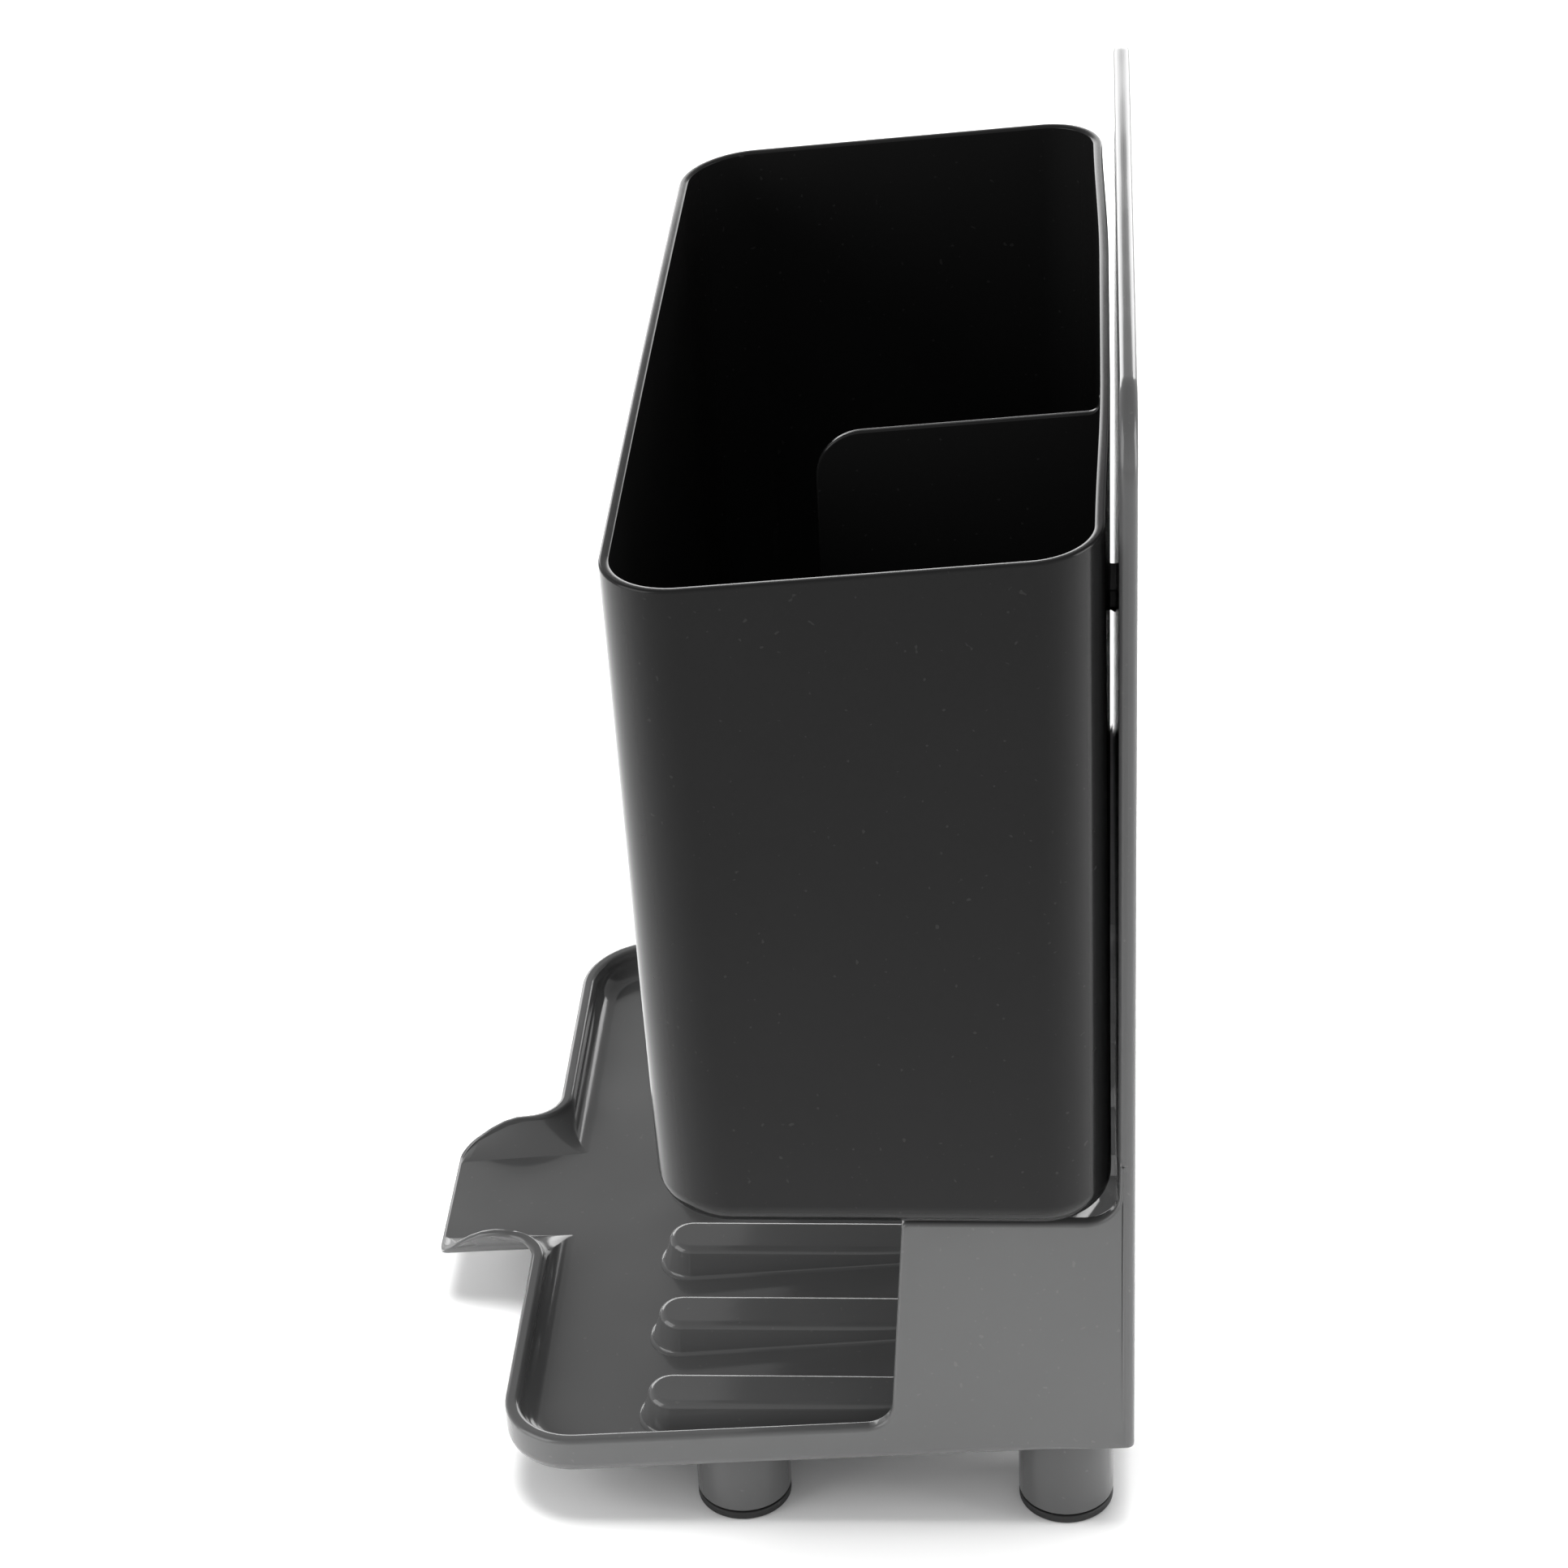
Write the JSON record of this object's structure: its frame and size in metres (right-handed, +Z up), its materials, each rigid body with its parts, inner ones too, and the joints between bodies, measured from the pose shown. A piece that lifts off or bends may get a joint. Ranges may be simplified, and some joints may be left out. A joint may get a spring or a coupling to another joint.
{
  "type": "dish drying rack",
  "caption": "Sink-side dish rack: lift-off caddy with a divider over a sloping ribbed drip tray with a pouring spout, end cheeks, tall back panel and rubber-padded legs.",
  "frame": {"origin": "centre of the bounding box in plan, on the surface that the pads stand on", "axes": "+Z up, +X along the tray and the back panel, +Y from the spout towards the back panel"},
  "size_m": [0.2058, 0.1578, 0.2625],
  "materials": {
    "grey_moulding": "semi-gloss moulded polypropylene",
    "black_moulding": "satin moulded polypropylene",
    "pad_rubber": "matt rubber"
  },
  "bodies": {
    "rack": {"frame_body": "grey_moulding", "leg_front_left": "grey_moulding", "leg_front_right": "grey_moulding", "leg_back_left": "grey_moulding", "leg_back_right": "grey_moulding", "foot_pad_front_left": "pad_rubber", "foot_pad_front_right": "pad_rubber", "foot_pad_back_left": "pad_rubber", "foot_pad_back_right": "pad_rubber"},
    "lift_off_caddy": {"caddy": "black_moulding"}
  },
  "joints": [
    {"name": "caddy_lift_off", "type": "slide", "parent": "rack", "child": "lift_off_caddy", "axis": [0, -0.5, 0.866], "range_m": [0, 0.16]}
  ]
}
